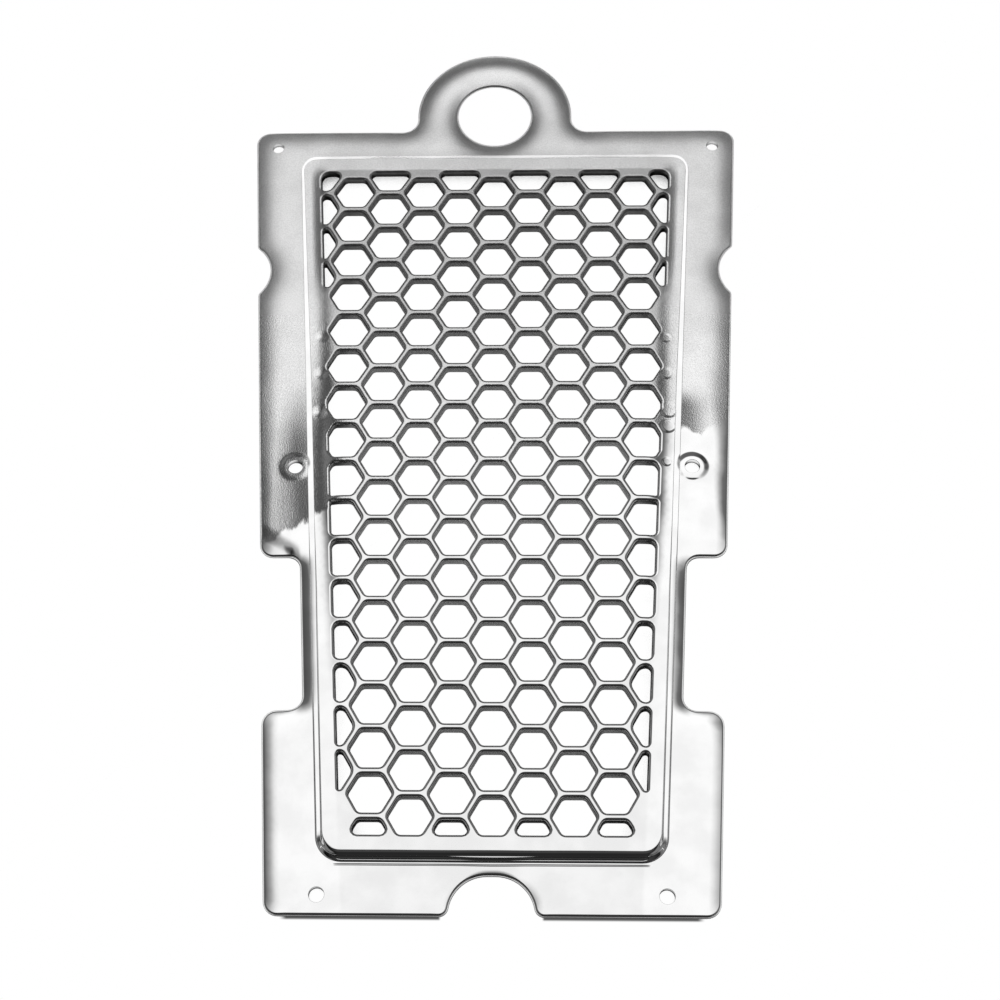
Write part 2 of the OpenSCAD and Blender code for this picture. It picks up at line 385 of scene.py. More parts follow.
# Front section of the step above its bottom corners, from the panel down to the flange by way of the ledge,
# whose height and widths may differ from point to point. It has as many points as the plain section.
def ledgeSection(rise, width, riser):
    base, top = sheet["thickness"], sheet["thickness"] + step["height"]
    fall = np.array(riserShape["fall"])[:, None]
    run = np.array(riserShape["run"])[:, None]
    facing = np.array(riserShape["facing"])
    between = 2 * (detail["bendSteps"] + 1) - 2 * len(facing)
    flat = np.linspace(0, 1, between + 2)[1:-1, None]
    out = np.concatenate([riser * run - width - 2 * riser, width * flat - width - riser, riser * run - riser])
    upperRiser = top - (top - base - rise) * fall
    height = np.concatenate([upperRiser, base + rise + 0 * flat, base + rise * (1 - fall)])
    return out, height, np.concatenate([facing, np.tile([0.0, 1.0], (between, 1)), facing])


# The mesh in the making: points, the way each faces, and the faces
class Surface:
    def __init__(self):
        self.points, self.normals, self.faces, self.count = [], [], [], 0

    def add(self, points, normals):
        start = self.count
        self.points.append(points.reshape(-1, 3))
        self.normals.append(normals.reshape(-1, 3))
        self.count += len(self.points[-1])
        return np.arange(start, self.count).reshape(points.shape[:-1])

    # a grid of closed loops, joined loop to loop
    def addLoops(self, points, normals):
        index = self.add(points, normals)
        a, b = index[:-1], index[1:]
        c, d = np.roll(b, -1, 1), np.roll(a, -1, 1)
        quads = np.stack([a, b, c, d], -1).reshape(-1, 4)
        self.faces.append(np.concatenate([quads[:, [0, 1, 2]], quads[:, [0, 2, 3]]]))
        return index


# Which points lie inside an odd number of the loops: each edge that a ray to the right crosses counts once
def insideLoops(points, loops, chunk=2000):
    start = np.concatenate(loops)
    end = np.concatenate([np.roll(loop, -1, 0) for loop in loops])
    run = (end[:, 0] - start[:, 0]) / np.where(end[:, 1] == start[:, 1], 1e-9, end[:, 1] - start[:, 1])
    out = []
    for k in range(0, len(points), chunk):
        p = points[k:k + chunk, None]
        spans = (start[:, 1] > p[..., 1]) != (end[:, 1] > p[..., 1])
        crosses = p[..., 0] < start[:, 0] + (p[..., 1] - start[:, 1]) * run
        out.append(np.sum(spans & crosses, 1) % 2 == 1)
    return np.concatenate(out)


# A flat stretch of sheet between loops: points on a triangle lattice, kept clear of the loops,
# and Delaunay triangles over loops and lattice together
def fillBetween(surface, indexLoops, height, up, chunk=1000):
    spacing = detail["fill"]
    flat = np.concatenate(surface.points)
    loops = [flat[index][:, :2] for index in indexLoops]
    rim = np.concatenate(loops)
    low, high = rim.min(0), rim.max(0)
    y = np.arange(low[1], high[1], spacing * np.sqrt(3) / 2)
    x = np.arange(low[0], high[0], spacing)
    grid = np.stack(np.meshgrid(x, y), -1)
    grid[1::2, :, 0] += spacing / 2
    grid = grid.reshape(-1, 2)
    grid = grid[insideLoops(grid, loops)]
    parts = [grid[k:k + chunk, None] for k in range(0, len(grid), chunk)]
    clear = np.concatenate([np.min(np.sum((part - rim) ** 2, -1), 1) for part in parts])
    grid = grid[clear > (spacing * detail["fillClear"]) ** 2]
    lattice = np.column_stack([grid, np.full(len(grid), height)])
    inner = surface.add(lattice, np.tile([0, 0, up], (len(grid), 1)))
    index = np.concatenate(list(indexLoops) + [inner])
    places = np.concatenate([rim, grid])
    edges, start = [], 0
    for loop in loops:
        run = np.arange(start, start + len(loop))
        edges += list(zip(run.tolist(), np.roll(run, -1).tolist()))
        start += len(loop)
    result = delaunay_2d_cdt([Vector(p) for p in places], edges, [], 0, detail["weld"], True)
    source = np.array([ids[0] for ids in result[3]])
    triangles = source[np.array(result[2])]
    middle = places[triangles].mean(1)
    surface.faces.append(index[triangles[insideLoops(middle, loops)]])


def circleArcs(x, y, bore):
    return [(np.array([x, y]), bore / 2, 0, 360)]


# A rim along arcs: a section with its edge on the arcs, followed all the way round
def addRim(surface, arcs, level, section, spacing, hole=True, arcSteps=None):
    loops, normals = [], []
    for inward, height, out, up in zip(*section):
        points, ways = tracePath(arcs, spacing, -inward if hole else inward, arcSteps)
        way = -ways if hole else ways
        loops.append(np.column_stack([points, np.full(len(points), level + height)]))
        normals.append(np.column_stack([way * out, np.full(len(points), up)]))
    return surface.addLoops(np.stack(loops), np.stack(normals))


# Centre of a corner of the step, with the step's foot at the inset from the side edge
def stepCorner(y, radius):
    return np.array([halfWidth(y) - (step["inset"] + radius) / np.cos(np.radians(taper)), y])


# The step's front and back as loops of points: a section followed along the foot's line,
# soft along the bottom and sharp above it, blended on the way
def stepWalls(surface):
    radius, topRadius = step["cornerRadius"], step["topCornerRadius"]
    top = stepCorner(footTop - topRadius, topRadius)
    bottom = stepCorner(footBottom + radius, radius)
    flip = np.array([-1, 1])
    corners = [(top, topRadius, -taper, 90), (top * flip, topRadius, 90, 180 + taper),
               (bottom * flip, radius, 180 + taper, 270), (bottom, radius, 270, 360 - taper)]
    base, ways = tracePath(corners, detail["spacing"], 0, detail["stepCornerSteps"])
    sharp = np.clip((base[:, 1] - step["sharpFrom"]) / (step["sharpTo"] - step["sharpFrom"]), 0, 1)[:, None]
    ledge = [np.interp(base[:, 1], *np.transpose(step[name]))
             for name in ("ledgeHeights", "ledgeWidths", "riserWidths")]
    walls = []
    for front in (True, False):
        stacks = []
        for crestBend in (step["crestRadius"], step["sharpRadius"]):
            section, facing = stepSection(front, crestBend)
            out, level = section[:, :1] + 0 * ledge[0], section[:, 1:] + 0 * ledge[0]
            if front and crestBend == step["sharpRadius"]:
                out, level, facing = ledgeSection(*ledge)
            points = np.stack([base[:, 0] + ways[:, 0] * out, base[:, 1] + ways[:, 1] * out, level], -1)
            aside, up = facing[:, :1], facing[:, 1:]
            normals = np.stack([ways[:, 0] * aside, ways[:, 1] * aside, up + 0 * level], -1)
            stacks.append(np.stack([points, normals]))
        mixed = stacks[0] * (1 - sharp) + stacks[1] * sharp
        walls.append(surface.addLoops(mixed[0], mixed[1]))
    return walls


# The whole surface: the rims, the step, and the flat stretches between them
def sheetSurface():
    surface = Surface()
    edge = edgeSection(*edgeRounds["outline"], detail["rollSteps"])
    holeEdge = edgeSection(*edgeRounds["hole"], detail["holeSteps"])
    lip = lipSection(detail["rollSteps"])
    openings = [addRim(surface, arcs, step["height"], lip, detail["openingSpacing"],
                       arcSteps=detail["cornerSteps"]) for arcs in openingArcs()]
    outline = addRim(surface, outlineArcs(), 0, edge, detail["spacing"], hole=False)
    ring = addRim(surface, circleArcs(0, ringY, sheet["ringBore"]), 0, edge, detail["ringSpacing"])
    holes = [addRim(surface, circleArcs(side * hole["span"] / 2, hole["y"], hole["bore"]), 0, holeEdge,
                    detail["holeSpacing"]) for hole in screwHoles for side in (1, -1)]
    print("rims:", len(openings), "openings")
    frontWall, backWall = stepWalls(surface)
    for k, up, wall in ((0, 1, frontWall), (-1, -1, backWall)):    # every rim's first loop is on the face
        level = sheet["thickness"] if up > 0 else 0
        fillBetween(surface, [wall[0]] + [opening[k] for opening in openings], step["height"] + level, up)
        fillBetween(surface, [outline[k], wall[-1], ring[k]] + [hole[k] for hole in holes], level, up)
    return surface


# How the finished face departs from the drawing, in millimetres: it droops towards open space,
# widely in the satin part and closely in the bright part, swells over the punched field,
# waves slightly, has a low boss round each middle screw hole and is folded down at one corner
form = {
    "gridStep": 0.5,
    "gridHalfWidth": 84.0,
    "gridHalfLength": 140.0,
    "rimSpacing": 1.0,
    "sideDroop": 2.4,
    "topDroop": 1.7,
    "satinReach": 3.1,
    "brightDroop": 1.3,
    "brightReach": 2.0,
    "ringShare": 1.35,     # how much more it droops within ringReach of the ring's middle
    "ringReach": 30.0,
    "fieldRise": 0.85,
    "fieldReach": 1.9,
    "fieldShares": ((-125, 0), (-95, 0.1), (-70, 0.35), (-48, 0.8), (-25, 1.6),
                    (15, 1.6), (45, 1.0), (72, 0.9), (90, 0), (125, 0)),
    "wave": 0.02,
    "waves": ((1.0, 0.11, 0.19, 0.4), (0.7, -0.23, 0.13, 2.1), (0.5, 0.31, 0.37, 4.0)),
    "bossRadius": 3.6,
    "bossHeight": 0.25,
    "fold": 0.3,
}

# The line where satin turns to bright, in millimetres: its height on the middle line, its lean,
# and the width over which the droop changes
satinLine = {"height": -12.0, "lean": 0.28, "blend": 12.0}

# The fold in millimetres: the sheet bends down where x * X + y * Y grows beyond "from", over the width,
# and only where X is below "within", which it fades in from
foldLine = {"x": -0.546, "y": -0.838, "from": 52.3, "width": 4.2, "within": -48.4, "fade": 2.0}


# A blurred copy of a grid: each point becomes the average of what lies within the reach
def blurred(grid, reach):
    fy, fx = (np.fft.fftfreq(n, form["gridStep"]) for n in grid.shape)
    blur = np.exp(-2 * (np.pi * reach) ** 2 * (fx ** 2 + fy[:, None] ** 2))
    return np.real(np.fft.ifft2(np.fft.fft2(grid) * blur))


# The departure as a grid of heights over the plan. Droop: the blurred share of open space nearby, beside the
# sheet and above its top edge, in its satin and its bright part. Field: a tanh step at the field's sides,
# times the share for that height. Waves: a sum of sines that run across the plan.
def departure():
    x = np.arange(-form["gridHalfWidth"], form["gridHalfWidth"], form["gridStep"])
    y = np.arange(-form["gridHalfLength"], form["gridHalfLength"], form["gridStep"])
    places = np.stack(np.meshgrid(x, y), -1)
    rims = [tracePath(arcs, form["rimSpacing"])[0]
            for arcs in (outlineArcs(), circleArcs(0, ringY, sheet["ringBore"]))]
    outside = 1.0 - insideLoops(places.reshape(-1, 2), rims).reshape(places.shape[:2])
    px, py = places[..., 0], places[..., 1]
    rise = (py - satinLine["height"] - satinLine["lean"] * px) / satinLine["blend"] + 0.5
    satin = np.clip(rise, 0, 1) ** 2 * (3 - 2 * np.clip(rise, 0, 1))
    above = outside * (py - topY > np.abs(px) - halfWidth(topY))
    above *= np.abs(px) > sheet["ringRadius"] + sheet["ringFillet"]
    beside = outside * (py > bottomY) - above
    beside *= np.where(np.hypot(px, py - ringY) < form["ringReach"], form["ringShare"], 1.0)
    height = -satin * form["sideDroop"] * blurred(beside, form["satinReach"])
    height -= satin * form["topDroop"] * blurred(above, form["satinReach"])
    height -= (1 - satin) * form["brightDroop"] * blurred(beside, form["brightReach"])
    share = np.interp(y, *np.transpose(form["fieldShares"]))[:, None]
    within = halfWidth(py) - honeycomb["fromSide"] - np.abs(px)
    height += form["fieldRise"] * share * (1 + np.tanh(within / form["fieldReach"])) / 2
    for amount, kx, ky, phase in form["waves"]:
        height += form["wave"] * amount * np.sin(px * kx + py * ky + phase)
    return x, y, height


# A grid read between its points, by shares of the four nearest
def readGrid(x, y, grid, px, py):
    u, v = (px - x[0]) / form["gridStep"], (py - y[0]) / form["gridStep"]
    i, j = np.floor(u).astype(int), np.floor(v).astype(int)
    s, t = u - i, v - j
    return ((grid[j, i] * (1 - s) + grid[j, i + 1] * s) * (1 - t)
            + (grid[j + 1, i] * (1 - s) + grid[j + 1, i + 1] * s) * t)


# The departure and its slopes at given points, with the bosses and the fold. A boss is its height times
# exp(-far^4), far being the distance over its radius; the fold falls by a smoothstep across its width.
def drift(px, py):
    x, y, grid = departure()
    slopeY, slopeX = np.gradient(grid, form["gridStep"])
    height, dx, dy = (readGrid(x, y, g, px, py) for g in (grid, slopeX, slopeY))
    middleHoles = screwHoles[1]
    for side in (1, -1):
        ox, oy = px - side * middleHoles["span"] / 2, py - middleHoles["y"]
        far = np.hypot(ox, oy) / form["bossRadius"]
        boss = form["bossHeight"] * np.exp(-far ** 4)
        slope = 4 * far ** 2 * boss / form["bossRadius"] ** 2
        height, dx, dy = height + boss, dx - slope * ox, dy - slope * oy
    across = (foldLine["x"] * px + foldLine["y"] * py - foldLine["from"]) / foldLine["width"]
    across = np.clip(across, 0, 1)
    fold = form["fold"] * np.clip((foldLine["within"] - px) / foldLine["fade"], 0, 1)
    slope = fold * 6 * across * (1 - across) / foldLine["width"]
    height = height - fold * across ** 2 * (3 - 2 * across)
    return height, dx - slope * foldLine["x"], dy - slope * foldLine["y"]


# The sheet as one mesh: the drawn surface, lifted by the drift, its facing turned with the slopes,
# and every triangle wound so that it faces outwards
def sheetObject(material):
    surface = sheetSurface()
    points = np.concatenate(surface.points)
    normals = np.concatenate(surface.normals)
    faces = np.concatenate(surface.faces)
    height, dx, dy = drift(points[:, 0], points[:, 1])
    share = np.clip(points[:, 2] / sheet["thickness"], 0, 1)    # the flange's back stays flat on the table
    points[:, 2] += height * share
    normals[:, 0] -= dx * share * normals[:, 2]
    normals[:, 1] -= dy * share * normals[:, 2]
    normals /= np.linalg.norm(normals, axis=1)[:, None]
    a, b, c = points[faces[:, 0]], points[faces[:, 1]], points[faces[:, 2]]
    facing = np.sum(np.cross(b - a, c - a) * normals[faces].sum(1), 1)
    faces[facing < 0] = faces[facing < 0][:, ::-1]
    mesh = bpy.data.meshes.new("guardSheet")
    mesh.from_pydata((points * mm).tolist(), [], faces.tolist())
    mesh.update()
    mesh.shade_smooth()
    mesh.normals_split_custom_set_from_vertices(normals.tolist())
    mesh.materials.append(material)
    piece = bpy.data.objects.new("guardSheet", mesh)
    bpy.context.scene.collection.objects.link(piece)
    print("sheet:", len(points), "points,", len(faces), "triangles")
    return piece


# Small helpers for node trees: a node with its settings, and a maths node with its inputs
def addNode(tree, kind, **settings):
    node = tree.nodes.new("ShaderNode" + kind)
    for name, value in settings.items():
        setattr(node, name, value)
    return node


def feed(tree, socket, value):
    if isinstance(value, bpy.types.NodeSocket):
        tree.links.new(value, socket)
    else:
        socket.default_value = value


def maths(tree, operation, *values):
    node = addNode(tree, "Math", operation=operation)
    for socket, value in zip(node.inputs, values):
        feed(tree, socket, value)
    return node.outputs[0]


def ramp(tree, value, fromMin, fromMax, toMin=0.0, toMax=1.0):
    node = addNode(tree, "MapRange", interpolation_type="SMOOTHSTEP")
    for name, number in (("From Min", fromMin), ("From Max", fromMax), ("To Min", toMin), ("To Max", toMax)):
        node.inputs[name].default_value = number
    feed(tree, node.inputs["Value"], value)
    return node.outputs["Result"]


# One between the rise and the fall and nothing beyond them: each is the pair of places, in millimetres,
# over which it happens, and either may be left out
def zone(tree, value, rise=None, fall=None):
    parts = []
    if rise:
        parts.append(ramp(tree, value, rise[0] * mm, rise[1] * mm))
    if fall:
        parts.append(ramp(tree, value, fall[0] * mm, fall[1] * mm, 1.0, 0.0))
    return parts[0] if len(parts) == 1 else maths(tree, "MULTIPLY", *parts)


# A height that falls from nothing by an amount between two places, all in millimetres
def falling(tree, value, places, amount):
    return ramp(tree, value, places[0] * mm, places[1] * mm, 0.0, -amount * mm)


def oneMinus(tree, share):
    return maths(tree, "SUBTRACT", 1.0, share)


def noise(tree, vector, scale, octaves):
    node = addNode(tree, "TexNoise")
    node.inputs["Scale"].default_value = scale
    node.inputs["Detail"].default_value = octaves
    tree.links.new(vector, node.inputs["Vector"])
    return node.outputs["Fac"]


# A place's X, Y and Z, and the same place on the plan
def axesOf(tree, place):
    split = addNode(tree, "SeparateXYZ")
    tree.links.new(place, split.inputs[0])
    plan = addNode(tree, "CombineXYZ")
    for name in ("X", "Y"):
        tree.links.new(split.outputs[name], plan.inputs[name])
    return [split.outputs[name] for name in ("X", "Y", "Z")] + [plan.outputs[0]]


# Distance on the plan from a point given in millimetres
def distanceFrom(tree, plan, x, y):
    far = addNode(tree, "VectorMath", operation="DISTANCE")
    tree.links.new(plan, far.inputs[0])
    far.inputs[1].default_value = (x * mm, y * mm, 0)
    return far.outputs["Value"]


# A curve through (position, height) pairs, both from 0 to 1
def curveThrough(tree, value, pairs):
    node = addNode(tree, "FloatCurve")
    points = node.mapping.curves[0].points
    for k, pair in enumerate(pairs):
        if k < 2:
            points[k].location = pair
        else:
            points.new(*pair)
    for point in points:
        point.handle_type = "VECTOR"
    node.mapping.update()
    feed(tree, node.inputs["Value"], value)
    return node.outputs[0]


# Bright plating over the pressed steel: a mirror low down, satin with a fine grain towards the ring.
# Lengths and places are in millimetres; each noise is its cells per metre and its finer layers.
plating = {
    "shades": (0.82, 0.89),
    "cloudNoise": (110, 3),
    "contrast": (0.35, 0.65),    # the stretch of a noise that shows
    "specks": 0.12,              # how much darker the grain's hollows are
    "paintedBarShades": (0.06, 0.36),   # painted shade: how much darker the bars are painted, low down and at the top
    "barPlaces": (-40, 85),
    "mirrorRoughness": 0.05,
    "satinRoughness": 0.3,
    "satinShares": (0.35, 1.0),  # the satin dulls on its way up
    "satinPlaces": (-20, 70),
    "satinEdge": 1.0,
    "ragged": 16,                # how far the line between mirror and satin wanders
    "raggedNoise": (160, 4),
    "streak": 0.35,              # how far its noise is drawn out along the sheet
    "grainNoise": (3000, 2),
    "grainDepth": 0.05,
    "rippleNoise": (75, 1),
    "ripple": 0.8,               # soft dents either side of that line
    "bead": 0.07,                # a fine ridge pressed along the foot of the bottom step
    "beadWidth": 0.3,
    "beadBelow": 0.5,
}

# How far stretches of the face lean outwards, in millimetres: the fall, and the places it falls between.
# "flange" is the flange and the border just above the satin's line, "border" is beside the upper openings,
# "waist" is the flange along the waist, and "fold" deepens the fold over the waist's left corner.
leans = {
    "flange": (3.6, (37, 56)),
    "border": (0.8, (40.5, 45.5)),
    "waist": (0.5, (46.5, 52.5)),
    "fold": (0.42, (foldLine["from"], foldLine["from"] + foldLine["width"])),
}

# Where the plating changes and the leans apply, in millimetres: rises and falls across the sheet (x),
# up it (y), through it (z) and across it along its taper (beside)
zones = {
    "ledgeLevel": {"rise": (2.2, 2.6), "fall": (4.95, 5.05)},       # z
    "ledgeSides": {"rise": (45.5, 46.5)},                           # beside
    "ledgeTop": {"rise": (82.5, 83.5)},                             # y
    "fieldSides": {"fall": (42.0, 43.2)},                           # beside
    "fieldTop": {"fall": (80.8, 81.6)},                             # y
    "ripple": {"rise": (-45, -20), "fall": (5, 30)},                # y
    "bead": {"fall": (35.5, 38)},                                   # x, either side
    "rightFlange": {"rise": (46.5, 48.5)},                          # x
    "rightHeight": {"fall": (8, 16)},                               # y
    "leftHalf": {"fall": (-2, 0)},                                  # x
    "leftHeight": {"fall": (-6, 26)},                               # y
    "border": {"rise": (35, 55), "fall": (78, 84)},                 # y
    "waist": {"rise": (-77.5, -73), "fall": (-37, -33)},            # y
    "fold": {"fall": (-49, -47.8)},                                 # x
}

# Bosses round the middle screw holes and dents beside the openings, in millimetres:
# the middle, the two distances between which the face rises, and by how much
dents = (
    (50.7, -9.1, 2.8, 4.4, -0.28),
    (-50.7, -9.1, 2.6, 4.4, -0.25),
    (45.0, 26.9, 0.8, 1.6, 0.16),
    (44.7, 16.2, 1.0, 2.0, 0.2),
    (44.9, 5.4, 1.5, 2.6, 0.2),
    (44.7, 0.8, 1.3, 2.3, 0.2),
    (44.0, -9.6, 0.7, 1.5, 0.15),
    (-45.0, 27.5, 0.0, 2.2, 0.25),
    (-44.7, 16.4, 0.0, 2.4, 0.3),
    (-44.5, 5.1, 0.0, 2.6, 0.35),
)


# The place on the sheet as sockets: its axes, its place on the plan, its distance from the middle line,
# plainly and along the taper, and the place drawn out along the sheet for streaky noise
def placeOnSheet(tree):
    place = addNode(tree, "TexCoord").outputs["Object"]
    x, y, z, plan = axesOf(tree, place)
    outward = maths(tree, "ABSOLUTE", x)
    beside = maths(tree, "SUBTRACT", outward, maths(tree, "MULTIPLY", y, np.tan(np.radians(taper))))
    streaks = addNode(tree, "VectorMath", operation="MULTIPLY")
    tree.links.new(place, streaks.inputs[0])
    streaks.inputs[1].default_value = (1, plating["streak"], 1)
    return {"place": place, "x": x, "y": y, "z": z, "plan": plan, "outward": outward, "beside": beside,
            "streaks": streaks.outputs[0]}


# Share of satin: above a ragged line that leans across the sheet, but not on the step's ledge
def satinShare(tree, at):
    ragged = noise(tree, at["streaks"], *plating["raggedNoise"])
    over = maths(tree, "SUBTRACT", at["y"], maths(tree, "MULTIPLY", at["x"], satinLine["lean"]))
    over = maths(tree, "ADD", over, maths(tree, "MULTIPLY", ragged, plating["ragged"] * mm))
    centre = satinLine["height"] + plating["ragged"] / 2
    satin = zone(tree, over, rise=(centre - plating["satinEdge"], centre + plating["satinEdge"]))
    onLedge = maths(tree, "MAXIMUM", zone(tree, at["beside"], **zones["ledgeSides"]),
                    zone(tree, at["y"], **zones["ledgeTop"]))
    ledge = maths(tree, "MULTIPLY", zone(tree, at["z"], **zones["ledgeLevel"]), onLedge)
    return maths(tree, "MULTIPLY", satin, oneMinus(tree, ledge))


# The plating's colour: slightly cloudy, with painted shade on the bars of the field, and darker in the
# hollows of the grain
def platingShade(tree, at, satin, grain):
    field = maths(tree, "MULTIPLY", zone(tree, at["beside"], **zones["fieldSides"]),
                  zone(tree, at["y"], **zones["fieldTop"]))
    # painted shade: the bars of the field are painted darker, more so towards the top, in place of the dark
    # reflections on them
    low, high = plating["barPlaces"]
    paintedBarShade = ramp(tree, at["y"], low * mm, high * mm, *plating["paintedBarShades"])
    cloud = noise(tree, at["place"], *plating["cloudNoise"])
    cloudy = ramp(tree, cloud, *plating["contrast"], *plating["shades"])
    shade = maths(tree, "MULTIPLY", cloudy, oneMinus(tree, maths(tree, "MULTIPLY", field, paintedBarShade)))
    specks = maths(tree, "MULTIPLY", ramp(tree, grain, *plating["contrast"], plating["specks"], 0.0), satin)
    return maths(tree, "MULTIPLY", shade, oneMinus(tree, specks))


# The heights that bend the reflections, each with its share and its scale, laid one over another
def platingRelief(tree, at, satin, grain):
    right = maths(tree, "MULTIPLY", zone(tree, at["x"], **zones["rightFlange"]),
                  zone(tree, at["y"], **zones["rightHeight"]))
    left = maths(tree, "MULTIPLY", zone(tree, at["x"], **zones["leftHalf"]),
                 zone(tree, at["y"], **zones["leftHeight"]))
    leaning = maths(tree, "MULTIPLY", satin, maths(tree, "MAXIMUM", left, right))
    across = maths(tree, "ADD", maths(tree, "MULTIPLY", at["x"], foldLine["x"]),
                   maths(tree, "MULTIPLY", at["y"], foldLine["y"]))
    dented = 0.0
    for x, y, inner, outer, rise in dents:
        far = distanceFrom(tree, at["plan"], x, y)
        dented = maths(tree, "ADD", ramp(tree, far, inner * mm, outer * mm, 0.0, rise * mm), dented)
    beadY = (footBottom - plating["beadBelow"]) * mm
    fromBead = maths(tree, "ABSOLUTE", maths(tree, "SUBTRACT", at["y"], beadY))
    ridge = maths(tree, "MULTIPLY", zone(tree, fromBead, fall=(0.0, plating["beadWidth"])),
                  zone(tree, at["outward"], **zones["bead"]))
    soft = noise(tree, at["streaks"], *plating["rippleNoise"])
    depth, places = leans["flange"]
    relief = [(falling(tree, at["outward"], places, depth), leaning, 1.0)]
    for name, value, share in (("border", at["beside"], zone(tree, at["y"], **zones["border"])),
                               ("fold", across, zone(tree, at["x"], **zones["fold"])),
                               ("waist", at["beside"], zone(tree, at["y"], **zones["waist"]))):
        depth, places = leans[name]
        relief.append((falling(tree, value, places, depth), share, 1.0))
    relief += [(dented, 1.0, 1.0),
               (grain, satin, plating["grainDepth"] * mm),
               (soft, zone(tree, at["y"], **zones["ripple"]), plating["ripple"] * mm),
               (ridge, 1.0, plating["bead"] * mm)]
    normal = None
    for height, strength, distance in relief:
        bump = addNode(tree, "Bump")
        bump.inputs["Distance"].default_value = distance
        feed(tree, bump.inputs["Strength"], strength)
        tree.links.new(height, bump.inputs["Height"])
        if normal:
            tree.links.new(normal, bump.inputs["Normal"])
        normal = bump.outputs[0]
    return normal


def platingMaterial():
    material = bpy.data.materials.new("plating")
    material.use_nodes = True
    tree = material.node_tree
    shader = tree.nodes["Principled BSDF"]
    shader.inputs["Metallic"].default_value = 1.0
    at = placeOnSheet(tree)
    satin = satinShare(tree, at)
    grain = noise(tree, at["place"], *plating["grainNoise"])
    low, high = plating["satinPlaces"]
    dull = maths(tree, "MULTIPLY", satin, ramp(tree, at["y"], low * mm, high * mm, *plating["satinShares"]))
    roughness = ramp(tree, dull, 0, 1, plating["mirrorRoughness"], plating["satinRoughness"])
    tree.links.new(roughness, shader.inputs["Roughness"])
    tree.links.new(platingShade(tree, at, satin, grain), shader.inputs["Base Color"])
    tree.links.new(platingRelief(tree, at, satin, grain), shader.inputs["Normal"])
    return material


# The white table, in millimetres and shares: white to the camera and to the plating,
# and darker where the sheet shuts out the light
table = {
    "halfWidth": 3000,
    "below": 0.1,              # a hair under the sheet
    "white": 0.85,
    "reach": 9,                # how far off the sheet still darkens it
    "openToCamera": (0.02, 0.26),    # the share of open sky at which the camera sees it black and white
    "openPower": 5.0,          # and how fast it darkens in the plating
    "nearEdge": (-131, -124),  # beyond the bottom edge the plating mirrors a dark room
    "nearShade": 0.03,
    "holeLight": 0.9,          # light that reaches it through the screw holes
    "holeShade": (0.6, 0.1),   # and how far in from the bore that ends
    "edgeShade": 0.9,          # the bottom edge's own shadow, beside the arch
    "edgeAcross": {"rise": (11.5, 12.2), "fall": (47, 49)},
    "edgeAlong": {"rise": (-125.8, -125.2), "fall": (-124.9, -124.7)},
}


def tableMaterial():
    material = bpy.data.materials.new("tableWhite")
    material.use_nodes = True
    tree = material.node_tree
    tree.nodes.clear()
    plain = addNode(tree, "BsdfDiffuse")
    plain.inputs["Color"].default_value = (*[table["white"]] * 3, 1)
    near = addNode(tree, "AmbientOcclusion", samples=12)
    near.inputs["Distance"].default_value = table["reach"] * mm
    path = addNode(tree, "LightPath")
    x, y, _, plan = axesOf(tree, addNode(tree, "TexCoord").outputs["Object"])
    far, close = table["nearEdge"]
    mirrored = maths(tree, "MULTIPLY", maths(tree, "POWER", near.outputs["AO"], table["openPower"]),
                     ramp(tree, y, far * mm, close * mm, table["nearShade"], 1.0))
    for hole in screwHoles:
        inner, outer = (hole["bore"] / 2 - shade for shade in table["holeShade"])
        for side in (1, -1):
            away = distanceFrom(tree, plan, side * hole["span"] / 2, hole["y"])
            lit = ramp(tree, away, inner * mm, outer * mm, table["holeLight"], 0.0)
            mirrored = maths(tree, "MAXIMUM", mirrored, lit)
    below = maths(tree, "MULTIPLY", zone(tree, maths(tree, "ABSOLUTE", x), **table["edgeAcross"]),
                  zone(tree, y, **table["edgeAlong"]))
    seen = maths(tree, "MULTIPLY", ramp(tree, near.outputs["AO"], *table["openToCamera"]),
                 oneMinus(tree, maths(tree, "MULTIPLY", below, table["edgeShade"])))
    strength = maths(tree, "ADD", maths(tree, "MULTIPLY", seen, path.outputs["Is Camera Ray"]),
                     maths(tree, "MULTIPLY", mirrored, path.outputs["Is Glossy Ray"]))
    white = addNode(tree, "Emission")
    tree.links.new(strength, white.inputs["Strength"])
    mix = addNode(tree, "MixShader")
    tree.links.new(maths(tree, "MAXIMUM", path.outputs["Is Camera Ray"], path.outputs["Is Glossy Ray"]),
                   mix.inputs["Fac"])
    tree.links.new(plain.outputs[0], mix.inputs[1])
    tree.links.new(white.outputs[0], mix.inputs[2])
    out = addNode(tree, "OutputMaterial")
    tree.links.new(mix.outputs[0], out.inputs["Surface"])
    return material


def makeTable():
    mesh = bpy.data.meshes.new("table")
    half = table["halfWidth"] * mm
    corners = [(-half, -half, 0), (half, -half, 0), (half, half, 0), (-half, half, 0)]
    mesh.from_pydata(corners, [], [(0, 1, 2, 3)])
    mesh.materials.append(tableMaterial())
    top = bpy.data.objects.new("table", mesh)
    bpy.context.scene.collection.objects.link(top)
    top.location.z = -table["below"] * mm


# The big soft light over the table, as brightness over the room's directions in degrees: the first list runs
# from the far horizon over the top to the near one, the second from the left side to the right
light = {
    "overhead": ((0, 0.14), (30, 0.16), (41, 0.24), (48, 1.3), (53, 1.5), (62, 1.42), (70, 1.36),
                 (95, 1.36), (101, 0.05), (112, 0.08), (126, 0.08), (140, 0.03), (180, 0.03)),
    "sideways": ((-90, 0.04), (-50, 0.05), (-33, 0.12), (-24, 0.42), (-16, 0.85), (-11, 1.0),
                 (10, 1.0), (15, 0.8), (22, 0.42), (30, 0.15), (45, 0.06), (90, 0.06)),
    "widerFrom": 57,       # from here up, the light reaches further out to the right
    "widerTo": 70,
    "widerShare": 0.65,
    "brightest": 1.6,
    "glow": 0.26,          # low down and well to the sides, by the direction's own Z and X
    "glowUp": (0.35, 0.6),
    "glowAside": (0.35, 0.6),
}


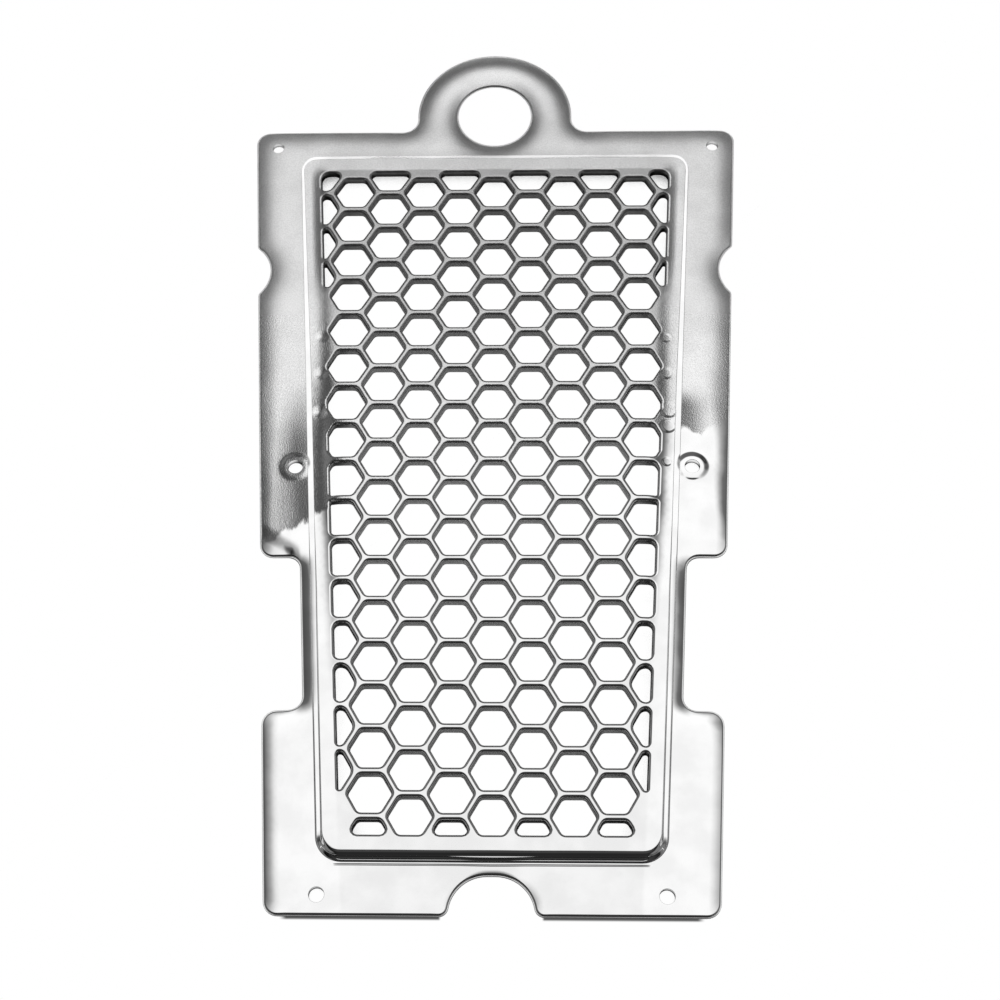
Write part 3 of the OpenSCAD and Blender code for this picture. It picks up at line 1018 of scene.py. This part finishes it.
def makeWorld():
    world = bpy.data.worlds.new("room")
    bpy.context.scene.world = world
    world.use_nodes = True
    tree = world.node_tree
    tree.nodes.clear()
    x, y, z, _ = axesOf(tree, addNode(tree, "TexCoord").outputs["Generated"])
    over = maths(tree, "DIVIDE", maths(tree, "ARCTAN2", z, y), np.pi)
    aside = maths(tree, "DIVIDE", maths(tree, "ARCSINE", x), np.pi)
    near = ramp(tree, over, light["widerFrom"] / 180, light["widerTo"] / 180, 1.0, light["widerShare"])
    aside = maths(tree, "ADD", maths(tree, "MINIMUM", aside, maths(tree, "MULTIPLY", aside, near)), 0.5)
    most = light["brightest"]
    high = curveThrough(tree, over, [(angle / 180, bright / most) for angle, bright in light["overhead"]])
    wide = curveThrough(tree, aside, [(angle / 180 + 0.5, bright) for angle, bright in light["sideways"]])
    glow = maths(tree, "MULTIPLY", ramp(tree, z, *light["glowUp"], light["glow"], 0.0),
                 ramp(tree, maths(tree, "ABSOLUTE", x), *light["glowAside"]))
    back = addNode(tree, "Background")
    box = maths(tree, "MULTIPLY", maths(tree, "MULTIPLY", high, wide), most)
    tree.links.new(maths(tree, "MAXIMUM", box, glow), back.inputs["Strength"])
    out = addNode(tree, "OutputWorld")
    tree.links.new(back.outputs[0], out.inputs["Surface"])


# The camera stood over the bottom edge and looked up the guard: its place in metres, its axes as directions,
# lens, sensor and nearest distance in millimetres, and the shift in picture widths
camera = {
    "place": (0.00470, -0.23698, 0.43574),
    "right": (0.9994977, 0.0137650, -0.0285460),
    "up": (0.0005289, 0.8933769, 0.4493078),
    "lens": 69.079,
    "sensor": 36,
    "shiftX": 0.04924,
    "nearest": 10,
}


def makeCamera():
    data = bpy.data.cameras.new("camera")
    data.lens, data.sensor_width, data.shift_x = camera["lens"], camera["sensor"], camera["shiftX"]
    data.clip_start = camera["nearest"] * mm
    right, up = Vector(camera["right"]).normalized(), Vector(camera["up"]).normalized()
    back = right.cross(up).normalized()
    up = back.cross(right)
    turn = Matrix((right, up, back)).transposed()
    seat = bpy.data.objects.new("camera", data)
    seat.matrix_world = Matrix.Translation(camera["place"]) @ turn.to_4x4()
    bpy.context.scene.collection.objects.link(seat)
    bpy.context.scene.camera = seat


guard = sheetObject(platingMaterial())
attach(guard, "root")
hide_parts("radiator_guard")
makeTable()
makeWorld()
makeCamera()
bpy.context.scene.view_settings.view_transform = "Standard"
print("light and camera set")
